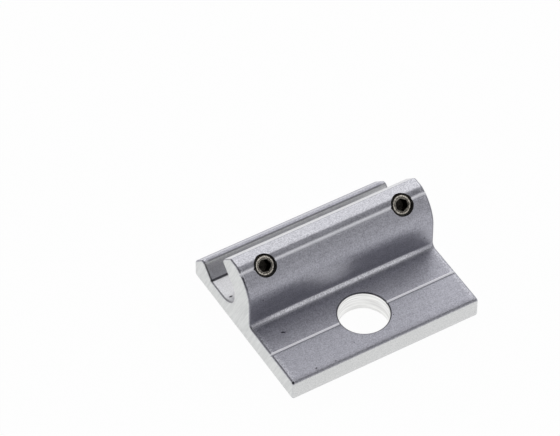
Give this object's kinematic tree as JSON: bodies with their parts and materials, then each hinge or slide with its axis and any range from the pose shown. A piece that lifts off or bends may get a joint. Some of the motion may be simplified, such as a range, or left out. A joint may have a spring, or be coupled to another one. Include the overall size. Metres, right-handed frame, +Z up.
{
  "type": "rodless cylinder center mount",
  "caption": "Short aluminium extrusion whose slanted slot takes the side rail of a rodless cylinder, held by set screws through its hook, with a flange that bolts down.",
  "frame": {"origin": "on the axis of the bolt hole, at the underside", "axes": "+X along the extrusion, +Y from the flange towards the lip, +Z up, out of the top of the bolt hole"},
  "size_m": [0.0368, 0.0328, 0.0155],
  "materials": {
    "tumbled_aluminium": "satin, tumbled, with paler sawn ends",
    "black_steel": "black oxide, oiled, bright where the socket face is worn"
  },
  "bodies": {
    "mount": {"mount_profile": "tumbled_aluminium"},
    "left_screw": {"set_screw_left": "black_steel"},
    "right_screw": {"set_screw_right": "black_steel"}
  },
  "joints": [
    {"name": "left_screw_drive", "type": "slide", "parent": "mount", "child": "left_screw", "axis": [0, 0.7071, -0.7071], "range_m": [-0.0014, 0.0021]},
    {"name": "right_screw_drive", "type": "slide", "parent": "mount", "child": "right_screw", "axis": [0, 0.7071, -0.7071], "range_m": [-0.0014, 0.0021]}
  ]
}
